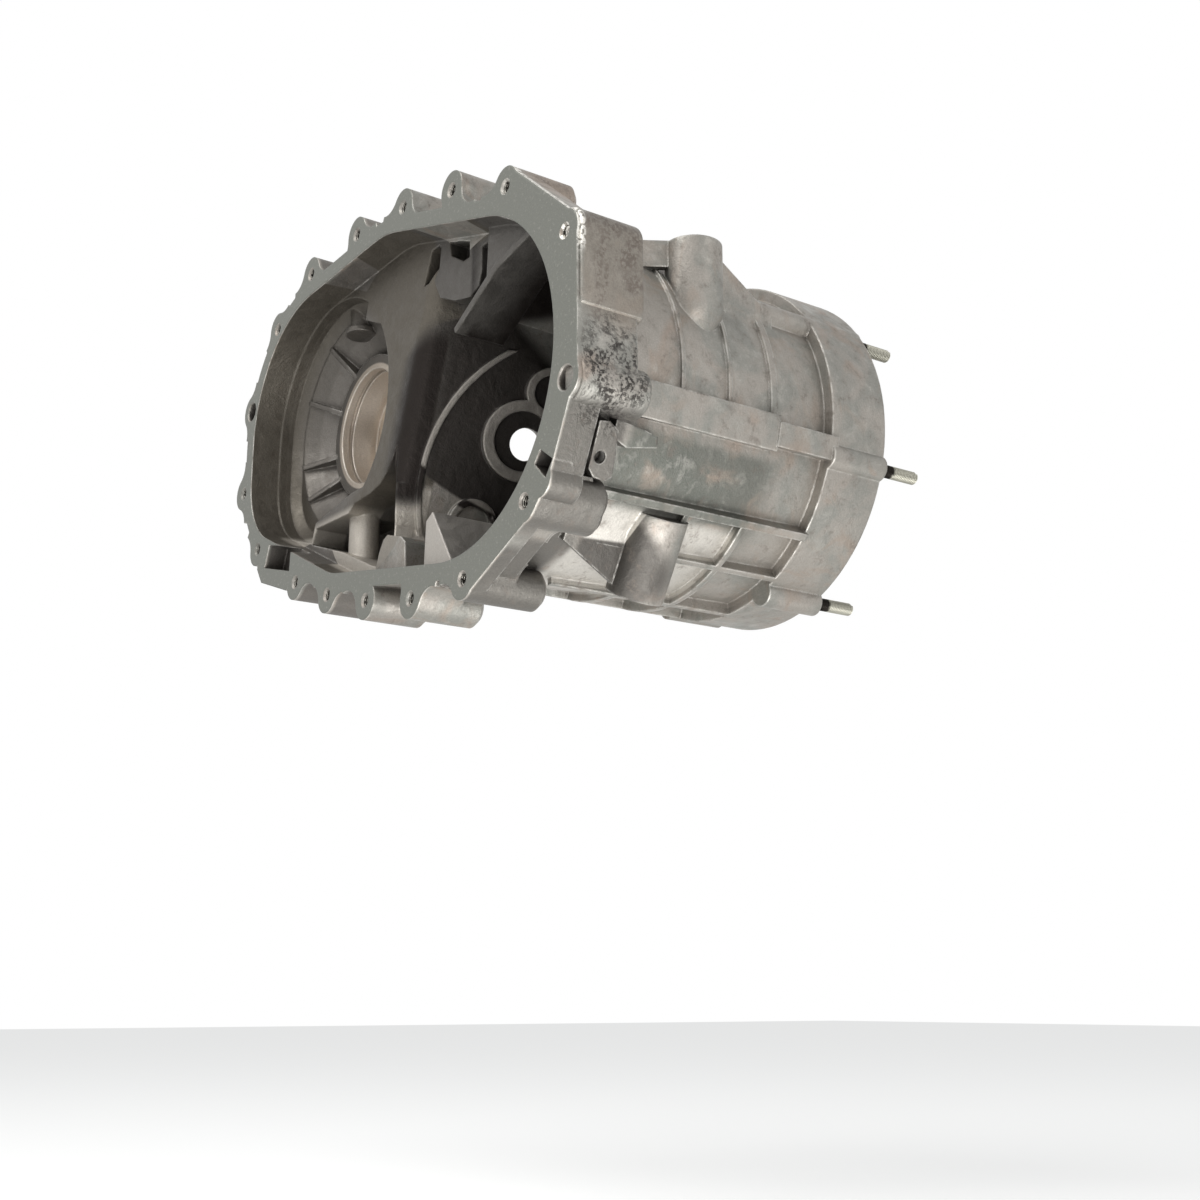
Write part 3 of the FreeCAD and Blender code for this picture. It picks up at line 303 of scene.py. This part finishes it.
def threadTree(name, solid):  # a helical ridge at each point, on a round core where the piece is solid
    tree = bpy.data.node_groups.new(name, "GeometryNodeTree")
    tree.interface.new_socket("Geometry", in_out="OUTPUT", socket_type="NodeSocketGeometry")
    for socket, kind in (("Geometry", "Geometry"), ("Pitch", "Float"), ("Middle radius", "Float"), ("Ridge", "Float"),
                         ("Length", "Float"), ("Chamfer", "Float"), ("Material", "Material")):
        tree.interface.new_socket(socket, in_out="INPUT", socket_type="NodeSocket" + kind)
    given = addNode(tree, "NodeGroupInput").outputs
    clear = addNode(tree, "ShaderNodeMath", {"operation": "MULTIPLY"}, _0=given["Chamfer"], _1=2.0)
    threaded = addNode(tree, "ShaderNodeMath", {"operation": "SUBTRACT"}, _0=given["Length"], _1=clear)
    turns = addNode(tree, "ShaderNodeMath", {"operation": "DIVIDE"}, _0=threaded, _1=given["Pitch"])
    spiral = addNode(tree, "GeometryNodeCurveSpiral", None, Resolution=boltThreads["turnSteps"], Rotations=turns,
                     Start_Radius=given["Middle radius"], End_Radius=given["Middle radius"], Height=threaded)
    upright = addNode(tree, "GeometryNodeSetCurveNormal", {"mode": "Z_UP"}, Curve=spiral)
    ridge = addNode(tree, "GeometryNodeCurvePrimitiveCircle", None, Resolution=4, Radius=given["Ridge"])
    form = addNode(tree, "GeometryNodeCurveToMesh", None, Curve=upright, Profile_Curve=ridge, Fill_Caps=True)
    if solid:
        offset = addNode(tree, "ShaderNodeCombineXYZ", None, Z=given["Chamfer"])
        moved = addNode(tree, "GeometryNodeTransform", None, Geometry=form, Translation=offset)
        straight = addNode(tree, "GeometryNodeMeshCylinder", None, Vertices=studs["coreSides"],
                           Radius=given["Middle radius"], Depth=threaded)
        half = addNode(tree, "ShaderNodeMath", {"operation": "MULTIPLY"}, _0=given["Length"], _1=0.5)
        centre = addNode(tree, "ShaderNodeCombineXYZ", None, Z=half)
        core = addNode(tree, "GeometryNodeTransform", None, Geometry=straight, Translation=centre)
        tipRadius = addNode(tree, "ShaderNodeMath", {"operation": "SUBTRACT"}, _0=given["Middle radius"],
                            _1=given["Chamfer"])
        tip = addNode(tree, "GeometryNodeMeshCone", None, Vertices=studs["coreSides"], Radius_Top=tipRadius,
                      Radius_Bottom=given["Middle radius"], Depth=given["Chamfer"])
        tipStart = addNode(tree, "ShaderNodeMath", {"operation": "SUBTRACT"}, _0=given["Length"], _1=given["Chamfer"])
        tipPlace = addNode(tree, "ShaderNodeCombineXYZ", None, Z=tipStart)
        tipMoved = addNode(tree, "GeometryNodeTransform", None, Geometry=tip, Translation=tipPlace)
        form = addNode(tree, "GeometryNodeJoinGeometry", None)
        for piece in (moved, core, tipMoved):
            tree.links.new(piece.outputs[0], form.inputs[0])
    placed = addNode(tree, "GeometryNodeInstanceOnPoints", None, Points=given["Geometry"], Instance=form,
                     Rotation=(math.radians(-90), 0, 0))
    real = addNode(tree, "GeometryNodeRealizeInstances", None, Geometry=placed)
    dressed = addNode(tree, "GeometryNodeSetMaterial", None, Geometry=real, Material=given["Material"])
    addNode(tree, "NodeGroupOutput", None, Geometry=dressed)
    return tree


def repeatAt(name, points, tree, values):  # the tree's result at each point, as a plain mesh
    mesh = bpy.data.meshes.new(name + "Points")
    mesh.from_pydata(points, [], [])
    source = bpy.data.objects.new(name + "Points", mesh)
    bpy.context.collection.objects.link(source)
    modifier = source.modifiers.new("repeat", "NODES")
    modifier.node_group = tree
    for socket in tree.interface.items_tree:
        if socket.in_out == "INPUT" and socket.name in values:
            modifier[socket.identifier] = values[socket.name]
    graph = bpy.context.evaluated_depsgraph_get()
    plain = bpy.data.meshes.new_from_object(source.evaluated_get(graph), depsgraph=graph)
    source.modifiers.remove(modifier)
    bpy.data.objects.remove(source)
    plain.name = name
    piece = bpy.data.objects.new(name, plain)
    bpy.context.collection.objects.link(piece)
    return piece


def makeCutThread():
    # Tapped aluminium: freshly cut metal that shines on the crests, painted shade deeper down the hole, and patches of
    # old oil.
    material, tree = newMaterial("tappedAluminium")
    place, x, y, z = millimetres(tree)
    dirt = addNode(tree, "ShaderNodeTexNoise", None, Vector=place, Scale=0.4, Detail=3.0)
    # painted shade deeper down the hole, and old oil in patches
    deep = addNode(tree, "ShaderNodeMath", {"operation": "MAXIMUM"}, _0=zone(tree, (y, 3.0, 9.0)),
                   _1=zone(tree, (dirt.outputs[0], 0.5, 0.62)))
    colour = addNode(tree, "ShaderNodeMix", {"data_type": "RGBA"}, _0=deep, _6=linear(boltThreads["cut"]),
                     _7=linear(boltThreads["shadeAndGrime"])).outputs[2]
    rough = addNode(tree, "ShaderNodeMapRange", None, Value=dirt.outputs[0], To_Min=0.25, To_Max=0.5)
    shader = addNode(tree, "ShaderNodeBsdfPrincipled", None, Base_Color=colour, Metallic=1.0, Roughness=rough)
    addNode(tree, "ShaderNodeOutputMaterial", None, Surface=shader)
    return material


def makeZincSteel():
    # Zinc-plated steel, rolled thread: pale and slightly green, with painted shade in the roots, and a dark band of old
    # thread lock next to the casting.
    material, tree = newMaterial("zincPlatedSteel")
    place, x, y, z = millimetres(tree)
    patches = addNode(tree, "ShaderNodeTexNoise", None, Vector=place, Scale=0.35, Detail=4.0)
    edge = addNode(tree, "ShaderNodeMapRange", None, Value=patches.outputs[0], To_Min=-4.0, To_Max=4.0)
    reach = addNode(tree, "ShaderNodeMath", {"operation": "ADD"}, _0=y, _1=edge)
    band = zone(tree, (reach, studs["bandEnd"] + 1.0, studs["bandEnd"] - 1.0))
    hollow = addNode(tree, "ShaderNodeAmbientOcclusion", {"samples": 6}, Distance=0.0015).outputs["AO"]
    # painted shade: darker in the thread roots, where the occlusion finds the flanks close by
    rootShade = zone(tree, (hollow, 0.9, 0.4))
    colour = addNode(tree, "ShaderNodeMix", {"data_type": "RGBA"}, _0=rootShade, _6=linear(studs["zinc"]),
                     _7=linear(studs["zincRootShade"])).outputs[2]
    colour = addNode(tree, "ShaderNodeMix", {"data_type": "RGBA"}, _0=band, _6=colour,
                     _7=linear(studs["lockBand"])).outputs[2]
    rough = addNode(tree, "ShaderNodeMapRange", None, Value=patches.outputs[0], To_Min=0.28, To_Max=0.6)
    shader = addNode(tree, "ShaderNodeBsdfPrincipled", None, Base_Color=colour, Metallic=1.0, Roughness=rough)
    addNode(tree, "ShaderNodeOutputMaterial", None, Surface=shader)
    return material


def makeBoltThreads():
    size = {"Pitch": boltThreads["pitch"], "Middle radius": boltThreads["middle"], "Ridge": boltThreads["height"],
            "Length": boltThreads["length"]}
    values = {name: value / 1000 for name, value in size.items()}
    values["Chamfer"] = 0.0
    values["Material"] = makeCutThread()
    points = [(x / 1000, boltThreads["start"] / 1000, z / 1000) for x, z in boltThreads["places"]]
    piece = repeatAt("boltHoleThreads", points, threadTree("tappedHoles", False), values)
    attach(piece, "root")


def makeStuds():
    size = {"Pitch": studs["pitch"], "Middle radius": studs["core"], "Ridge": studs["height"],
            "Length": studs["end"] - studs["start"], "Chamfer": studs["chamfer"]}
    values = {name: value / 1000 for name, value in size.items()}
    values["Material"] = makeZincSteel()
    points = [(reach * math.cos(math.radians(turn)) / 1000, studs["start"] / 1000,
               reach * math.sin(math.radians(turn)) / 1000) for turn, reach in studs["places"]]
    piece = repeatAt("threadedStuds", points, threadTree("rolledStuds", True), values)
    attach(piece, "root")
    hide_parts("far_end_studs")


# the thick skins of the two side bosses
bossSkins = {
    "blockBolt": (108.6, 53.0), "blockRadius": 13.2, "blockStart": 1.8, "blockEnd": 41.8, "blockFoot": 8.0,
    "dowel": (109.9, -28.5), "dowelRadius": 13.3, "dowelStart": 2.5, "dowelEnd": 45.8,
    "round": 2.4, "steps": 14}  # mm


def arc(centre, radius, start, end, steps):  # points in mm round a centre, angles in degrees
    angles = [math.radians(start + (end - start) * i / steps) for i in range(steps + 1)]
    return [(centre[0] + radius * math.cos(a), centre[1] + radius * math.sin(a)) for a in angles]


def makeBossSkins(material):  # the block of the upper bolt and the dowel's boss stand proud of the land between
    block = arc(bossSkins["blockBolt"], bossSkins["blockRadius"], 100, 0, bossSkins["steps"])
    edge = block[-1][0]
    foot = bossSkins["blockFoot"]
    block += [(edge, foot + 6), (edge - 0.8, foot + 2), (edge - 3, foot), (edge - 10, foot), (edge - 16, 53.0)]
    boss = arc(bossSkins["dowel"], bossSkins["dowelRadius"], 110, -110, 2 * bossSkins["steps"])
    mesh = bmesh.new()
    for outline, start, end in ((block, bossSkins["blockStart"], bossSkins["blockEnd"]),
                                (boss, bossSkins["dowelStart"], bossSkins["dowelEnd"])):
        near = [mesh.verts.new((x / 1000, start / 1000, z / 1000)) for x, z in outline]
        far = [mesh.verts.new((x / 1000, end / 1000, z / 1000)) for x, z in outline]
        mesh.faces.new(near)
        mesh.faces.new(far[::-1])
        for i in range(len(outline)):
            j = (i + 1) % len(outline)
            mesh.faces.new((near[j], near[i], far[i], far[j]))
    bmesh.ops.recalc_face_normals(mesh, faces=mesh.faces)
    data = bpy.data.meshes.new("bossSkins")
    mesh.to_mesh(data)
    mesh.free()
    data.materials.append(material)
    piece = bpy.data.objects.new("bossSkins", data)
    bpy.context.collection.objects.link(piece)
    rounding = piece.modifiers.new("round", "BEVEL")
    rounding.width = bossSkins["round"] / 1000
    rounding.segments = 4
    rounding.limit_method = "ANGLE"
    rounding.angle_limit = math.radians(40)
    shadeEvenly(piece)
    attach(piece, "root")


# the casting's mesh, shaded without facets
facets = {"mergeWithin": 0.00001, "sharpFrom": 28.0}


def shadeEvenly(node):  # neighbouring facets share their shading, edges past the angle stay sharp
    tree = bpy.data.node_groups.new("evenFacets", "GeometryNodeTree")
    tree.interface.new_socket("Geometry", in_out="OUTPUT", socket_type="NodeSocketGeometry")
    tree.interface.new_socket("Geometry", in_out="INPUT", socket_type="NodeSocketGeometry")
    merge = tree.interface.new_socket("Merge within", in_out="INPUT", socket_type="NodeSocketFloat")
    sharp = tree.interface.new_socket("Sharp from", in_out="INPUT", socket_type="NodeSocketFloat")
    given = addNode(tree, "NodeGroupInput").outputs
    merged = addNode(tree, "GeometryNodeMergeByDistance", None, Geometry=given["Geometry"],
                     Distance=given["Merge within"])
    smoothFaces = addNode(tree, "GeometryNodeSetShadeSmooth", {"domain": "FACE"}, Geometry=merged, Shade_Smooth=True)
    angle = addNode(tree, "GeometryNodeInputMeshEdgeAngle")
    past = addNode(tree, "FunctionNodeCompare", {"data_type": "FLOAT", "operation": "GREATER_THAN"},
                   _0=angle.outputs[0], _1=given["Sharp from"])
    edges = addNode(tree, "GeometryNodeSetShadeSmooth", {"domain": "EDGE"}, Geometry=smoothFaces, Selection=past,
                    Shade_Smooth=False)
    addNode(tree, "NodeGroupOutput", None, Geometry=edges)
    modifier = node.modifiers.new("evenFacets", "NODES")
    modifier.node_group = tree
    modifier[merge.identifier] = facets["mergeWithin"]
    modifier[sharp.identifier] = math.radians(facets["sharpFrom"])


# camera, floor and light
def makeCamera():
    data = bpy.data.cameras.new("photoCamera")
    data.sensor_width = 36.0
    data.lens = camera["lens"]
    data.clip_end = 20.0
    obj = bpy.data.objects.new("photoCamera", data)
    bpy.context.collection.objects.link(obj)
    azimuth = math.radians(camera["azimuth"])
    rise = math.radians(-camera["elevation"])
    forward = Vector((-math.sin(azimuth) * math.cos(rise), math.cos(azimuth) * math.cos(rise), math.sin(rise)))
    obj.location = camera["place"]
    obj.rotation_euler = forward.to_track_quat("-Z", "Y").to_euler()
    bpy.context.scene.camera = obj


def makeWorld():  # soft light for the object, white behind it
    world = bpy.data.worlds.new("studio")
    bpy.context.scene.world = world
    world.use_nodes = True
    tree = world.node_tree
    tree.nodes.clear()
    soft = addNode(tree, "ShaderNodeBackground", None, Color=linear(light["sky"]), Strength=light["worldStrength"])
    white = addNode(tree, "ShaderNodeBackground", None, Color=linear(light["white"]), Strength=light["backdrop"])
    path = addNode(tree, "ShaderNodeLightPath").outputs
    seen = addNode(tree, "ShaderNodeMath", {"operation": "MAXIMUM"}, _0=path["Is Camera Ray"], _1=path["Is Glossy Ray"])
    seen = addNode(tree, "ShaderNodeMath", {"operation": "MAXIMUM"}, _0=seen, _1=path["Is Transmission Ray"])
    mix = addNode(tree, "ShaderNodeMixShader", None, _0=seen, _1=soft.outputs[0], _2=white.outputs[0])
    addNode(tree, "ShaderNodeOutputWorld", None, Surface=mix.outputs[0])


def makeFloor():  # painted studio floor, white to the camera where no shadow falls
    material, tree = newMaterial("paleStudioFloor")
    paint = addNode(tree, "ShaderNodeBsdfDiffuse", None, Color=linear(light["floorPaint"]))
    glow = addNode(tree, "ShaderNodeEmission", None, Color=linear(light["white"]), Strength=light["floorGlow"])
    both = addNode(tree, "ShaderNodeAddShader", None, _0=paint.outputs[0], _1=glow.outputs[0])
    addNode(tree, "ShaderNodeOutputMaterial", None, Surface=both)
    half = light["floorHalf"]
    mesh = bpy.data.meshes.new("floor")
    mesh.from_pydata([(-half, -half, 0), (half, -half, 0), (half, half, 0), (-half, half, 0)], [], [(0, 1, 2, 3)])
    mesh.materials.append(material)
    floor = bpy.data.objects.new("floor", mesh)
    floor.location = (0, 0, light["floorHeight"])
    bpy.context.collection.objects.link(floor)


def makeLights():
    for name in ("key", "side", "bounce"):
        place, size, power = light[name]
        data = bpy.data.lights.new(name, "AREA")
        data.size = size
        data.energy = power
        obj = bpy.data.objects.new(name, data)
        obj.location = place
        obj.rotation_euler = (Vector(light["aim"]) - Vector(place)).to_track_quat("-Z", "Y").to_euler()
        obj.visible_camera = False
        bpy.context.collection.objects.link(obj)


makeCamera()
makeWorld()
makeFloor()
makeLights()
print("stage: camera, floor and light are set")
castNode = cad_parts["case_half"]
castMaterial = makeCastAluminium()
for slot in castNode.material_slots:
    slot.material = castMaterial
shadeEvenly(castNode)
print("stage: the casting is dressed")
makeBossSkins(castMaterial)
makeBoltThreads()
makeStuds()
print("stage: threads and studs are made")
bpy.context.scene.view_settings.view_transform = "Standard"
